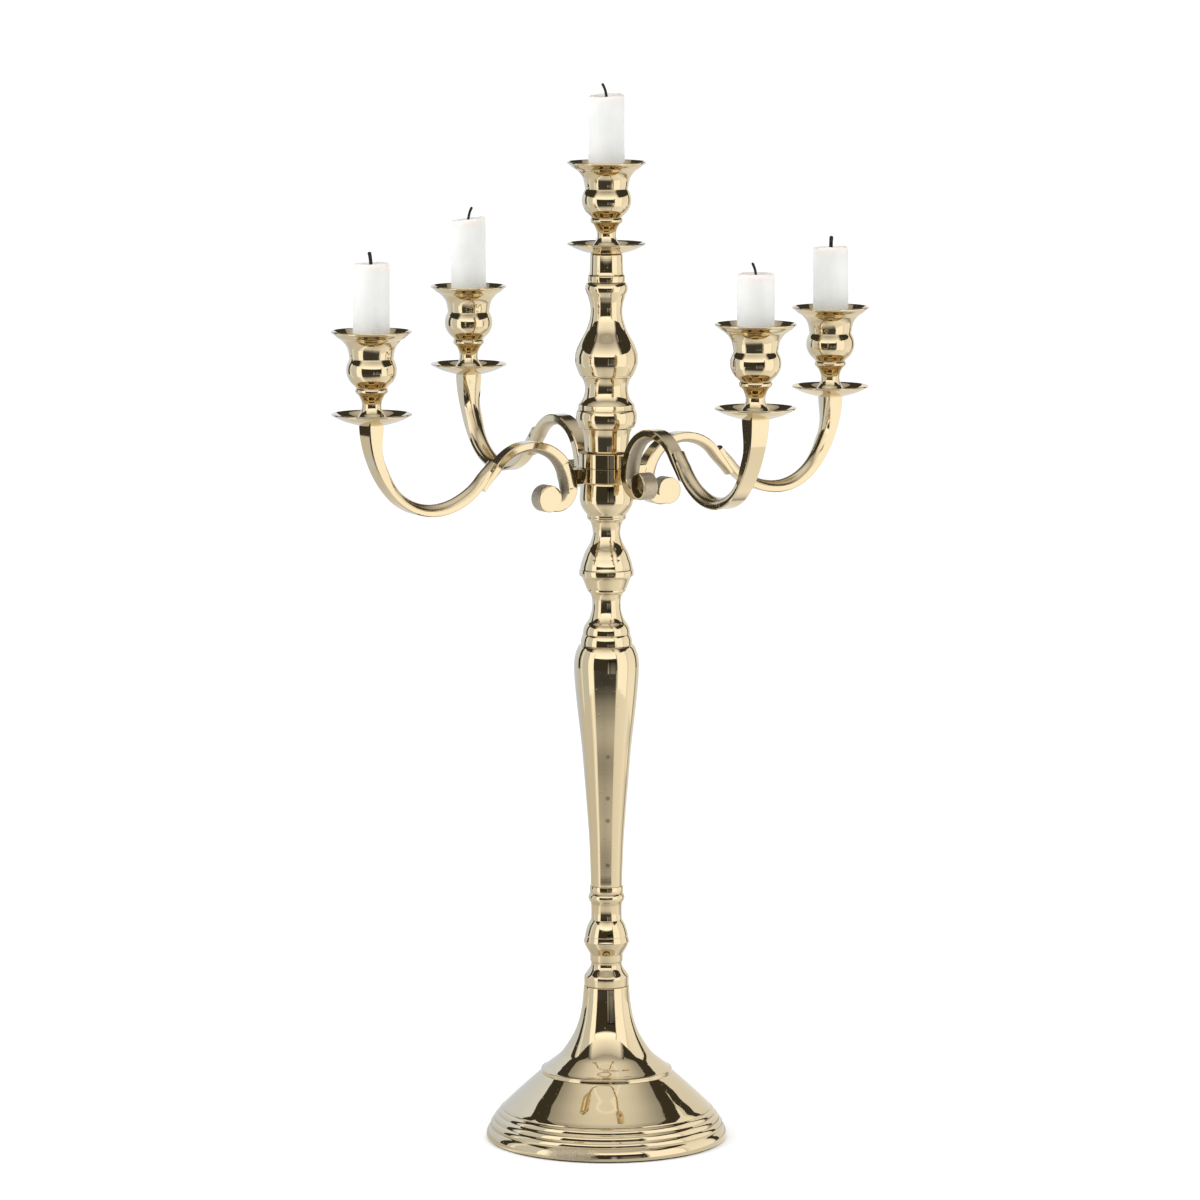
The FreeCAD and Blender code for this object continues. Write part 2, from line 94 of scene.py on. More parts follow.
# a node tree that starts empty
class Tree:
    def __init__(self, owner):
        self.nodes = owner.node_tree.nodes
        self.links = owner.node_tree.links
        self.nodes.clear()

    def put(self, socket, value):
        if isinstance(value, Wire):
            self.links.new(value.socket, socket)
        elif isinstance(value, (tuple, list)) and socket.type == "RGBA" and len(value) == 3:
            socket.default_value = (*value, 1)
        else:
            socket.default_value = value

    def putStops(self, ramp, stops):
        while len(ramp.elements) < len(stops):
            ramp.elements.new(0.5)
        for element, (position, level) in zip(ramp.elements, stops):
            element.position = position
            element.color = (level, level, level, 1)

    # a node: its settings first, then the values or links of its sockets
    def add(self, kind, settings=None, values=None, output=0):
        node = self.nodes.new(kind)
        for key, value in (settings or {}).items():
            if key == "stops":
                self.putStops(node.color_ramp, value)
            else:
                setattr(node, key, value)
        for key, value in values.items() if isinstance(values, dict) else enumerate(values or []):
            self.put(node.inputs[key], value)
        return Wire(self, node.outputs[output]) if node.outputs else None

    # object coordinates
    def place(self):
        return self.add("ShaderNodeTexCoord", {}, {}, output=3)

    def heightOf(self, place):
        return self.add("ShaderNodeSeparateXYZ", {}, [place], output=2)

    def attribute(self, name):
        return self.add("ShaderNodeAttribute", {"attribute_name": name}, {}, output=2)

    # a vector operation whose result is one number
    def measure(self, operation, *vectors):
        return self.add("ShaderNodeVectorMath", {"operation": operation}, vectors, output=1)

    def mixColour(self, factor, a, b):
        return self.add("ShaderNodeMix", {"data_type": "RGBA"}, {0: factor, 6: a, 7: b}, output=2)

    def range(self, value, low, high, outLow=0.0, outHigh=1.0):
        return self.add("ShaderNodeMapRange", {"interpolation_type": "SMOOTHSTEP"},
                        [value, low, high, outLow, outHigh])

    def noise(self, vector, scale, detail=3.0, rough=0.55, distortion=0.0):
        return self.add("ShaderNodeTexNoise", {}, {"Vector": vector, "Scale": scale, "Detail": detail,
                                                  "Roughness": rough, "Distortion": distortion})

    def stretched(self, vector, scale):
        return self.add("ShaderNodeMapping", {}, {"Vector": vector, "Scale": scale})

    def bump(self, height, strength, distance, normal=None):
        values = {"Height": height, "Strength": strength, "Distance": distance}
        if normal:
            values["Normal"] = normal
        return self.add("ShaderNodeBump", {}, values)


def newMaterial(name):
    material = bpy.data.materials.new(name)
    material.use_nodes = True
    return material, Tree(material)


def finishMaterial(tree, values):
    shader = tree.add("ShaderNodeBsdfPrincipled", {}, values)
    tree.add("ShaderNodeOutputMaterial", {}, {"Surface": shader})


# a direction on the table, turned from the camera's side toward its right
def sideways(degrees):
    turn = math.radians(degrees)
    return towardCamera * math.cos(turn) + towardRight * math.sin(turn)


plating = {
    "colour": (0.70, 0.585, 0.385),
    "warmColour": (0.68, 0.55, 0.335),
    "patina": (0.34, 0.22, 0.085),
    "castColour": (0.47, 0.41, 0.31),
    "gritColour": (0.20, 0.17, 0.12),
    "roughness": 0.035,
    "castRoughness": 0.46,
    "handRoughness": 0.025,
    "cloudScale": 26.0,
    "gritScale": 1900.0,
    "pitScale": 620.0,
    "smear": (60.0, 60.0, 22.0),
    "lathe": (1.5, 1.5, 1500.0),
    "hand": (70.0, 70.0, 50.0),
}

# a patch of the foot's rim where the plating is pitted
pitted = {"side": -17, "out": 0.0735, "height": 0.005, "core": 0.008, "edge": 0.019, "strength": 0.7,
          "bandFoot": 0.0070, "bandTop": 0.0084}

# small dark stains up the front of the baluster: height and girth at each
stains = {"places": ((0.171, 0.0101), (0.199, 0.0114), (0.213, 0.0121), (0.239, 0.0140)), "aside": 0.0008,
          "core": 0.0011, "edge": 0.0024, "ragged": 0.0013, "strength": 0.6, "colour": (0.10, 0.075, 0.04)}


def pittedPatch(tree, place, grit):
    spot = sideways(pitted["side"]) * pitted["out"] + Vector((0, 0, pitted["height"]))
    away = tree.measure("DISTANCE", place, spot)
    band = tree.range(tree.heightOf(place), pitted["bandFoot"], pitted["bandTop"], 1.0, 0.0)
    patch = tree.range(away, pitted["core"], pitted["edge"], pitted["strength"], 0.0)
    return patch * tree.range(grit, 0.35, 0.6) * band


def withStains(tree, place, grit, colour):
    for height, girth in stains["places"]:
        spot = towardCamera * girth + towardRight * stains["aside"] + Vector((0, 0, height))
        away = tree.measure("DISTANCE", place, spot) + tree.range(grit, 0.3, 0.8) * stains["ragged"]
        stain = tree.range(away, stains["core"], stains["edge"], stains["strength"], 0.0)
        colour = tree.mixColour(stain, colour, stains["colour"])
    return colour


# pale gold plating: polished by hand, brown in the recesses, with lathe lines or rough casting
def makePlating(name, turned):
    material, tree = newMaterial(name)
    place = tree.place()
    recess = tree.attribute("recess")
    cloud = tree.noise(place, plating["cloudScale"], 4.0)
    smear = tree.noise(tree.stretched(place, plating["smear"]), 1.0, 5.0, 0.6, 0.4)
    grit = tree.noise(place, plating["gritScale"], 3.0, 0.7)
    pit = tree.range(tree.noise(place, plating["pitScale"], 2.0, 0.5), 0.69, 0.76)
    tone = tree.mixColour(tree.range(cloud, 0.35, 0.75) * 0.35, plating["colour"], plating["warmColour"])
    rough = tree.attribute("cast")
    if turned:
        rough = pittedPatch(tree, place, grit).atLeast(rough)
    worn = tree.mixColour(rough, tone, plating["castColour"])
    grime = (recess * (0.45 + cloud)).atMost(1.0)
    colour = tree.mixColour(grime * 0.85, worn, plating["patina"])
    colour = tree.mixColour(rough * tree.range(grit, 0.45, 0.7) * 0.5, colour, plating["gritColour"])
    roughness = plating["roughness"] + tree.range(smear, 0.5, 0.85) * 0.05 + pit * 0.08 + grime * 0.16
    roughness = roughness + rough * (plating["castRoughness"] - plating["roughness"])
    if turned:
        colour = withStains(tree, place, grit, colour)
        normal = tree.bump(tree.noise(tree.stretched(place, plating["lathe"]), 1.0, 2.0), 0.05, 0.00012)
    else:
        normal = tree.bump(tree.noise(tree.stretched(place, plating["hand"]), 1.0, 1.0), 0.04, 0.001)
        roughness = roughness + plating["handRoughness"]
    normal = tree.bump(grit * rough + pit * (-0.12), 0.55, 0.00035, normal)
    finishMaterial(tree, {"Base Color": colour, "Metallic": 1.0, "Roughness": roughness, "Normal": normal})
    return material


wax = {"colour": (0.66, 0.675, 0.66), "paleColour": (0.71, 0.715, 0.70), "meltedColour": (0.72, 0.665, 0.63),
       "roughness": 0.42, "meltedGloss": 0.16, "ior": 1.44, "scatter": 0.55,
       "scatterRadius": (0.006, 0.005, 0.0045), "cloudScale": 60.0, "fine": (260.0, 260.0, 90.0)}


def makeWax():
    material, tree = newMaterial("candleWax")
    place = tree.place()
    melted = tree.attribute("melted")
    cloud = tree.noise(place, wax["cloudScale"], 4.0)
    fine = tree.noise(tree.stretched(place, wax["fine"]), 1.0, 4.0)
    colour = tree.mixColour(tree.range(cloud, 0.3, 0.7), wax["colour"], wax["paleColour"])
    colour = tree.mixColour(melted * 0.7, colour, wax["meltedColour"])
    roughness = wax["roughness"] - melted * wax["meltedGloss"] + tree.range(fine, 0.4, 0.7) * 0.1
    normal = tree.bump(fine, 0.25, 0.0004)
    finishMaterial(tree, {"Base Color": colour, "Roughness": roughness, "Normal": normal, "IOR": wax["ior"],
                          "Subsurface Weight": wax["scatter"], "Subsurface Radius": wax["scatterRadius"],
                          "Subsurface Scale": 1.0})
    return material


cotton = {"colour": (0.006, 0.006, 0.006), "paleColour": (0.03, 0.027, 0.024), "roughness": 0.9,
          "strands": (1500.0, 1500.0, 420.0)}


def makeBurntCotton():
    material, tree = newMaterial("burntCotton")
    strands = tree.noise(tree.stretched(tree.place(), cotton["strands"]), 1.0, 3.0, 0.6, 0.8)
    colour = tree.mixColour(tree.range(strands, 0.4, 0.7), cotton["colour"], cotton["paleColour"])
    finishMaterial(tree, {"Base Color": colour, "Roughness": cotton["roughness"],
                          "Normal": tree.bump(strands, 0.9, 0.0005)})
    return material


steel = {"colour": (0.50, 0.51, 0.52), "paleColour": (0.62, 0.62, 0.61), "roughness": 0.28,
         "spangleScale": 240.0, "threadScale": 160.0}


def makeSteel():
    material, tree = newMaterial("zincSteel")
    place = tree.place()
    spangle = tree.noise(place, steel["spangleScale"], 4.0)
    thread = tree.add("ShaderNodeTexWave", {"bands_direction": "Z"},
                      {"Vector": place, "Scale": steel["threadScale"]})
    colour = tree.mixColour(tree.range(spangle, 0.4, 0.65), steel["colour"], steel["paleColour"])
    roughness = steel["roughness"] + spangle * 0.15
    finishMaterial(tree, {"Base Color": colour, "Metallic": 1.0, "Roughness": roughness,
                          "Normal": tree.bump(thread, 0.5, 0.0003)})
    return material


felt = {"colour": (0.012, 0.02, 0.015), "paleColour": (0.035, 0.05, 0.04), "roughness": 0.95, "sheen": 0.4,
        "fibreScale": 1400.0}


def makeFelt():
    material, tree = newMaterial("darkFelt")
    fibre = tree.noise(tree.place(), felt["fibreScale"], 5.0, 0.7, 1.5)
    colour = tree.mixColour(tree.range(fibre, 0.35, 0.7), felt["colour"], felt["paleColour"])
    finishMaterial(tree, {"Base Color": colour, "Roughness": felt["roughness"], "Sheen Weight": felt["sheen"],
                          "Normal": tree.bump(fibre, 0.8, 0.0006)})
    return material


turnedPlating = makePlating("turnedPlating", True)
castPlating = makePlating("castPlating", False)
candleWax = makeWax()
burntCotton = makeBurntCotton()
zincSteel = makeSteel()
darkFelt = makeFelt()
print("materials made")


# how closely outlines are followed, in millimetres and in steps
follow = {"curveStep": 1.1, "leastSteps": 2, "mostSteps": 10, "arcSteps": 6}


# points of a smooth curve from start through run
def smoothRun(start, run):
    points = [start, start] + run + [run[-1]]
    out = []
    for k in range(1, len(points) - 2):
        p0, p1, p2, p3 = (Vector(point) for point in points[k - 1:k + 3])
        length = (p2 - p1).length
        steps = max(follow["leastSteps"], min(follow["mostSteps"], math.ceil(length / follow["curveStep"])))
        d1 = (p2 - p0) / max((p2 - p1).length + (p1 - p0).length, 1e-6) * length
        d2 = (p3 - p1) / max((p3 - p2).length + (p2 - p1).length, 1e-6) * length
        for i in range(1, steps + 1):
            t = i / steps
            h1, h2 = 2 * t ** 3 - 3 * t * t + 1, t ** 3 - 2 * t * t + t
            h3, h4 = -2 * t ** 3 + 3 * t * t, t ** 3 - t * t
            out.append(tuple(p1 * h1 + d1 * h2 + p2 * h3 + d2 * h4))
    return out


# points of a circular arc from start through middle to end
def arcRun(start, middle, end):
    (ax, ay), (bx, by), (cx, cy) = start, middle, end
    d = 2 * (ax * (by - cy) + bx * (cy - ay) + cx * (ay - by))
    a2, b2, c2 = ax * ax + ay * ay, bx * bx + by * by, cx * cx + cy * cy
    ux = (a2 * (by - cy) + b2 * (cy - ay) + c2 * (ay - by)) / d
    uy = (a2 * (cx - bx) + b2 * (ax - cx) + c2 * (bx - ax)) / d
    radius = math.hypot(ax - ux, ay - uy)
    a0, am, a1 = (math.atan2(p[1] - uy, p[0] - ux) for p in (start, middle, end))
    turn = (a1 - a0) % (2 * math.pi)
    if (am - a0) % (2 * math.pi) > turn:
        turn -= 2 * math.pi
    angles = [a0 + turn * k / follow["arcSteps"] for k in range(1, follow["arcSteps"] + 1)]
    return [(ux + radius * math.cos(angle), uy + radius * math.sin(angle)) for angle in angles]


# radius and height points: a pair is a line's end, four numbers an arc, a list a smooth run
def tracedProfile(start, *moves):
    points = [start]
    for move in moves:
        if isinstance(move, list):
            points += smoothRun(points[-1], move)
        elif len(move) == 4:
            points += arcRun(points[-1], move[:2], move[2:])
        else:
            points.append(move)
    return points


recesses = {"leastBend": 0.12, "strength": 1.1}


# writes how deep each point lies in a groove, from the bend of the edges that meet there
def markRecesses(bm):
    layer = bm.verts.layers.float.new("recess")
    bends = {}
    for edge in bm.edges:
        if len(edge.link_faces) == 2:
            bend = -edge.calc_face_angle_signed(0.0)
            for vert in edge.verts:
                bends[vert] = max(bends.get(vert, 0.0), bend)
    for vert in bm.verts:
        depth = (bends.get(vert, 0.0) - recesses["leastBend"]) * recesses["strength"]
        vert[layer] = min(1.0, max(0.0, depth))


def isSharper(edge, degrees):
    return len(edge.link_faces) == 2 and edge.calc_face_angle(0.0) > math.radians(degrees)


def shadeBySharpness(bm, degrees):
    for face in bm.faces:
        face.smooth = True
    for edge in bm.edges:
        edge.smooth = not isSharper(edge, degrees)


def newObject(bm, name, material):
    mesh = bpy.data.meshes.new(name)
    bm.to_mesh(mesh)
    bm.free()
    mesh.materials.append(material)
    thing = bpy.data.objects.new(name, mesh)
    bpy.context.scene.collection.objects.link(thing)
    return thing


def toPiece(bm, name, material, body, replaced):
    piece = newObject(bm, name, material)
    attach(piece, body)
    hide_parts(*replaced)
    return piece


turning = {"steps": 128, "footSteps": 192, "lightSteps": 112, "bevel": 0.22, "corner": 24, "sharp": 40}


# spins a closed outline about the vertical through centre and rounds its corners
def turnedMesh(profile, steps, bevelWidth=turning["bevel"], centre=(0, 0)):
    bm = bmesh.new()
    cx, cy = centre
    verts = [bm.verts.new((cx + r * mm, cy, z * mm)) for r, z in profile]
    edges = [bm.edges.new(pair) for pair in zip(verts, verts[1:])]
    onAxis = profile[0][0] < 1e-6 and profile[-1][0] < 1e-6
    if (verts[0].co - verts[-1].co).length > 1e-7 and not onAxis:
        edges.append(bm.edges.new((verts[-1], verts[0])))
    bmesh.ops.spin(bm, geom=verts + edges, cent=(cx, cy, 0), axis=(0, 0, 1), angle=2 * math.pi, steps=steps,
                   use_merge=True)
    bmesh.ops.remove_doubles(bm, verts=bm.verts, dist=1e-6)
    bmesh.ops.recalc_face_normals(bm, faces=bm.faces)
    if bevelWidth:
        corners = [edge for edge in bm.edges
                   if isSharper(edge, turning["corner"])
                   and (edge.verts[0].co - edge.verts[1].co).length > 1e-6
                   and abs(edge.verts[0].co.z - edge.verts[1].co.z) < 1e-6]
        bmesh.ops.bevel(bm, geom=corners, offset=bevelWidth * mm, offset_type="OFFSET", affect="EDGES",
                        segments=2, profile=0.5, material=-1, clamp_overlap=True)
    markRecesses(bm)
    shadeBySharpness(bm, turning["sharp"])
    return bm


stem = {
    "girth": 0.95, "rod": 4.0, "footTop": 95.0, "balusterFoot": 157.0, "knopFoot": 340.5, "bowlFoot": 384.5,
    "bellFoot": 423.8, "vaseFoot": 470.8, "tubeFoot": 527.3,
}


def stemSection(node, foot, *moves, girth=stem["girth"]):
    def placed(move):
        if isinstance(move, list):
            return [placed(point) for point in move]
        return tuple(value * girth if i % 2 == 0 else value + foot for i, value in enumerate(move))

    moves = [placed(move) for move in moves]
    top = moves[-1][-1]
    profile = tracedProfile((stem["rod"], foot), *moves, (stem["rod"], top))
    bm = turnedMesh(profile, turning["steps"])
    toPiece(bm, node + "_turned", turnedPlating, "stand", [node])


foot = {"radius": 73.9, "low": 1.0, "wall": 3.0, "ceiling": 81.0, "top": 95.0}


def makeFoot():
    r, low = foot["radius"], foot["low"]
    profile = tracedProfile(
        (r - 0.6, low), (r, low + 1.0), [(r - 0.3, 4.2), (r - 1.0, 6.0), (r - 2.0, 7.4)], (r - 2.6, 8.0),
        (r - 2.9, 10.3, r - 4.5, 12.0), (r - 4.7, 12.2), (r - 5.35, 14.2, r - 7.1, 15.6), (r - 7.4, 15.8),
        (r - 8.1, 17.8, r - 10.0, 19.0), (r - 10.0, 19.6), (r - 12.3, 21.9),
        [(r - 17.4, 26.9), (r - 22.5, 31.6), (r - 27.6, 36.3), (r - 31.7, 39.9), (r - 33.3, 41.2)],
        (r - 33.7, 41.3), (r - 33.7, 43.2), (r - 33.9, 43.7, r - 34.4, 43.9),
        [(37.2, 45.2), (34.1, 47.7), (32.1, 49.1), (27.2, 53.8), (20.4, 64.5), (17.1, 72.9), (15.7, 79.1),
         (14.75, 85.3), (13.95, foot["top"])],
        (stem["rod"], foot["top"]), (stem["rod"], foot["ceiling"]), (9.0, foot["ceiling"]),
        [(11.0, 74.0), (14.5, 64.9), (21.5, 54.0), (31.0, 44.0), (r - 34.4, 37.0), (r - 22.9, 27.0),
         (r - 11.9, 14.0)],
        (r - 3.6 - foot["wall"], 8.0), (r - 3.6 - foot["wall"], low),
    )
    toPiece(turnedMesh(profile, turning["footSteps"]), "base_foot_turned", turnedPlating,
            "stand", ["base_foot"])


makeFoot()
stemSection(
    "lower_stem", stem["footTop"],
    (14.0, 0.0), (14.45, 0.6), (14.45, 6.0), (13.9, 7.0),
    [(12.2, 9.2), (10.6, 11.4), (9.95, 13.2)], (9.95, 15.2), (10.6, 15.4), (10.6, 19.6),
    [(12.3, 22.4), (13.8, 25.0), (14.6, 27.2)], (14.75, 27.8, 14.6, 28.4), (13.8, 30.8),
    (13.9, 31.4), [(13.0, 34.8), (11.7, 38.3), (10.4, 40.6)], (9.9, 41.2), (9.85, 46.6), (9.95, 50.0),
    (10.3, 51.6), (10.9, 52.6), (11.7, 54.9, 10.9, 57.2), (10.4, 57.6), (10.8, 58.1), (10.8, 62.0),
)
stemSection(
    "baluster", stem["balusterFoot"],
    (10.1, 0.0), (10.2, 1.4),
    [(10.3, 7.7), (11.1, 27.6), (12.5, 47.0), (14.2, 67.0), (16.0, 87.0), (18.4, 106.7), (20.0, 121.5),
     (20.9, 134.0), (20.5, 141.2), (19.0, 146.2), (17.7, 148.7)],
    (16.5, 148.9), (16.3, 152.2, 15.2, 155.5), (15.0, 155.7), (14.4, 160.0, 12.7, 162.7), (12.3, 163.0),
    [(10.8, 165.8), (9.5, 170.0), (9.13, 174.0), (9.5, 178.0), (10.6, 180.6)], (11.9, 181.6),
    (12.3, 182.3), (12.3, 183.5),
)
stemSection(
    "upper_knop", stem["knopFoot"],
    (12.9, 0.0), (13.6, 2.0), [(14.6, 4.3), (15.9, 6.9), (16.9, 7.9)], (17.5, 8.1), (17.5, 11.6),
    (16.9, 12.0), (16.6, 14.2), (15.9, 16.9), (15.2, 18.5),
    [(14.1, 21.5), (12.9, 24.0), (11.25, 26.5), (10.1, 28.9), (8.8, 33.5), (9.5, 38.7), (10.5, 41.2)],
    (12.0, 42.4), (12.6, 43.1), (12.6, 44.0),
)
stemSection(
    "hub_bowl", stem["bowlFoot"],
    (12.0, 0.0), (12.0, 1.4), [(14.2, 4.4), (15.7, 7.4), (16.3, 10.6), (16.1, 16.0), (15.6, 20.6)],
    (15.2, 21.4), girth=1.0,
)
stemSection(
    "bell_section", stem["bellFoot"],
    (13.6, 0.0), (13.9, 0.6), [(14.3, 5.5), (15.1, 11.0), (16.6, 14.7)], (17.9, 15.4), (18.1, 15.7),
    (18.4, 16.3), (19.5, 20.6, 18.9, 25.4), (18.3, 25.8), (18.1, 26.2), (17.9, 29.2), (17.3, 29.7),
    [(16.0, 31.2), (14.5, 34.0), (13.7, 38.6), (14.6, 43.0), (16.4, 46.0)], (17.0, 46.4), (17.0, 47.0),
)
stemSection(
    "vase_section", stem["vaseFoot"],
    (17.3, 0.0), [(18.8, 3.4), (20.0, 7.0), (20.1, 10.0), (20.0, 12.5), (18.9, 16.1), (17.2, 19.7),
                  (15.1, 23.4), (13.1, 27.0), (11.7, 30.6), (10.6, 34.3), (10.1, 38.7), (10.7, 43.4),
                  (11.7, 47.0)],
    (12.0, 48.0), (12.3, 48.7), (13.6, 52.3, 12.6, 55.9), (11.4, 56.1), (11.4, 56.5),
)
stemSection(
    "top_tube", stem["tubeFoot"],
    (11.9, 0.0), (11.9, 3.6), (11.0, 4.2), (10.7, 6.4), (10.4, 16.2), (10.0, 16.7),
)
print("stem turned")


# cups and pans
lights = {"middle": "stand", "left": "lower_arms", "right": "lower_arms", "front": "upper_arms",
          "back": "upper_arms"}
pan = {"radius": 23.9, "depth": 6.4, "sheet": 1.2, "seat": 8.5, "hole": 2.5}
cup = {"radius": 23.9, "height": 49.4, "lip": 1.6, "bore": 11.3, "floor": 21.0, "screwTop": 10.0}


# height of a pan's edge and the centre of its cup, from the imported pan
def panEdge(name):
    low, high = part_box("drip_pan_" + name)
    return low.z / mm + pan["depth"], ((low.x + high.x) / 2, (low.y + high.y) / 2)


def makePan(name, body):
    edge, centre = panEdge(name)
    r, base = pan["radius"], edge - pan["depth"]
    profile = tracedProfile(
        (pan["hole"], base), (pan["seat"], base),
        [(10.2, edge - 6.0), (13.0, edge - 5.2), (16.0, edge - 4.3), (19.0, edge - 3.1), (21.4, edge - 1.9),
         (r - 0.7, edge - 0.9)],
        (r, edge - 0.2, r - 0.6, edge + 0.4),
        [(21.2, edge - 0.4), (18.4, edge - 1.9), (15.2, edge - 3.4), (12.2, edge - 4.5),
         (9.8, base + pan["sheet"])],
        (pan["hole"], base + pan["sheet"]),
    )
    toPiece(turnedMesh(profile, turning["lightSteps"], centre=centre), "drip_pan_%s_turned" % name,
            turnedPlating, body, ["drip_pan_" + name])


def makeCup(name, body):
    edge, centre = panEdge(name)
    base, floor = edge - pan["depth"] + pan["sheet"], edge + cup["floor"]
    rim, r = edge + cup["height"], cup["radius"]
    screwTop = base + cup["screwTop"]
    profile = tracedProfile(
        (pan["hole"], base), (8.9, base), (8.9, base + 0.9),
        [(8.5, edge - 1.6), (6.9, edge + 0.8), (5.8, edge + 4.2), (6.1, edge + 7.6), (7.4, edge + 10.7)],
        (8.4, edge + 11.9), (9.0, edge + 12.3), (9.8, edge + 13.9, 9.1, edge + 15.5), (9.6, edge + 16.1),
        [(12.7, edge + 19.3), (14.6, edge + 23.0), (15.0, edge + 26.2), (14.6, edge + 29.2),
         (13.6, edge + 31.6)],
        (12.9, edge + 32.9), (13.2, edge + 34.0),
        [(13.6, edge + 36.6), (14.7, edge + 40.1), (17.7, edge + 43.7), (r - 3.5, edge + 45.5),
         (r - 1.0, rim - cup["lip"])],
        (r, rim - cup["lip"] / 2, r - 0.5, rim),
        [(19.8, rim - 2.1), (15.8, rim - 5.2), (12.9, rim - 9.4), (cup["bore"], rim - 13.5)],
        (cup["bore"], floor), (0, floor), (0, screwTop), (pan["hole"], screwTop),
    )
    toPiece(turnedMesh(profile, turning["lightSteps"], centre=centre), "candle_cup_%s_turned" % name,
            turnedPlating, body, ["candle_cup_" + name])


for name, body in lights.items():
    makePan(name, body)
    makeCup(name, body)
print("cups and pans turned")


# arms: a D-shaped bar swept along two scrolls, with a ball end, a lug and a ring
arm = {
    "reach": 163.5, "archRadius": 31.3, "archCentre": (54.5, -8.3), "heelHeight": -6.5, "heelRadius": 14.0,
    "slope": 53.0, "slopeRun": 17.0, "ballRadius": 8.2, "ballWidth": 9.7, "ballOut": 5.4,
    "valleyDepth": 18.1, "valleyInner": 45.3, "valleyOuter": 38.8, "valleyTurn": 46.5, "upright": 66.0,
    "spurLead": 12.5, "bevel": 0.7, "endDepth": 10.6, "endWidth": 13.2, "seat": 38.9, "lugWidth": 9.0,
    "ringRadius": 17.0, "ringBore": 7.05, "ringHeight": 8.8, "ringEdge": 0.25, "ringSteps": 96,
    "lugOverlap": 4.0, "arcStep": 1.2, "lineStep": 1.4, "bendSteps": 10, "ballSteps": 48, "ballCast": 0.85,
    "sharp": 30,
}

# along each scroll, from 0 at its start to 1: its width, depth, straight wall and how rough its faces are
firstShape = {
    "widths": [(0, 9.6), (0.25, 9.6), (0.6, 10.0), (0.85, 9.0), (1, 8.6)],
    "depths": [(0, 7.5), (0.14, 8.5), (0.25, 9.6), (0.5, 7.2), (0.62, 6.6), (0.85, 6.2), (1, 4.2)],
    "walls": [(0, 5.0), (0.25, 5.0), (0.6, 3.4), (0.85, 3.0), (1, 1.8)],
    "roughInside": [(0, 0.9), (0.5, 1.0), (0.8, 0.45), (1, 0.25)],
    "roughOutside": [(0, 0.1), (0.6, 0.12), (1, 0.3)],
}
secondShape = {
    "widths": [(0, 8.2), (0.2, 9.2), (0.5, 11.0), (0.8, 11.2), (1, arm["endWidth"])],
    "depths": [(0, 4.8), (0.1, 6.6), (0.25, 7.2), (0.63, 7.0), (0.8, 8.4), (1, arm["endDepth"])],
    "walls": [(0, 2.4), (0.25, 1.8), (0.63, 2.4), (0.8, 5.2), (1, arm["endDepth"] - 1.6)],
    "roughInside": [(0, 0.3), (0.4, 0.22), (0.7, 0.08), (1, 0.02)],
    "roughOutside": [(0, 0.2), (0.3, 0.05), (1, 0.0)],
}


# places along an arc of the arm's outer line, each with its inward direction
def arcStations(centre, radius, start, stop):
    steps = max(2, round(radius * math.radians(abs(stop - start)) / arm["arcStep"]))
    out = []
    for k in range(steps + 1):
        turn = math.radians(start + (stop - start) * k / steps)
        way = Vector((math.cos(turn), math.sin(turn)))
        out.append((Vector(centre) + way * radius, -way))
    return out


def lineStations(start, way, length, inward, first=1):
    steps = max(2, round(length / arm["lineStep"]))
    return [(start + way * (length * k / steps), inward) for k in range(first, steps + 1)]


# from the scroll end, up past the ring, over the arch and part way down the slope
def firstScroll():
    hub = arm["archCentre"][0] - arm["archRadius"]
    stations = arcStations((hub + arm["heelRadius"], arm["heelHeight"]), arm["heelRadius"], 285, 180)
    stations += arcStations(arm["archCentre"], arm["archRadius"], 180, 90 - arm["slope"])[1:]
    place, inward = stations[-1]
    fall = math.radians(arm["slope"])
    return stations + lineStations(place, Vector((math.cos(fall), -math.sin(fall))), arm["slopeRun"], inward)


# from the spur on the slope, round the valley and up to the seat under the pan
def secondScroll():
    turn, slope = math.radians(arm["valleyTurn"]), math.radians(arm["slope"])
    reach = arm["valleyOuter"] * math.sin(turn) + arm["upright"] * (1 - math.sin(turn))
    foot = arm["reach"] + arm["endDepth"] / 2 - reach
    low = -arm["valleyDepth"]
    valley = arcStations((foot, low + arm["valleyInner"]), arm["valleyInner"], 270 - arm["slope"], 270)
    place, inward = valley[0]
    way = Vector((math.cos(slope), -math.sin(slope)))
    stations = lineStations(place - way * arm["spurLead"], way, arm["spurLead"], inward, 0)[:-1] + valley
    outer = (foot, low + arm["valleyOuter"])
    stations += arcStations(outer, arm["valleyOuter"], 270, 270 + arm["valleyTurn"])[1:]
    place, inward = stations[-1]
    centre = place + Vector((-math.sin(turn), math.cos(turn))) * arm["upright"]
    top = 360 + math.degrees(math.asin(min(0.0, (arm["seat"] - centre.y) / arm["upright"])))
    stations += arcStations(centre, arm["upright"], 270 + arm["valleyTurn"], top)[1:-1]
    return stations + [(Vector((centre.x + arm["upright"], arm["seat"])), Vector((-1, 0)))]


# value at a share of the run along stops of (share, value)
def eased(stops, share):
    for (p0, v0), (p1, v1) in zip(stops, stops[1:]):
        if share <= p1:
            t = (share - p0) / (p1 - p0)
            return v0 + (v1 - v0) * t * t * (3 - 2 * t)
    return stops[-1][1]


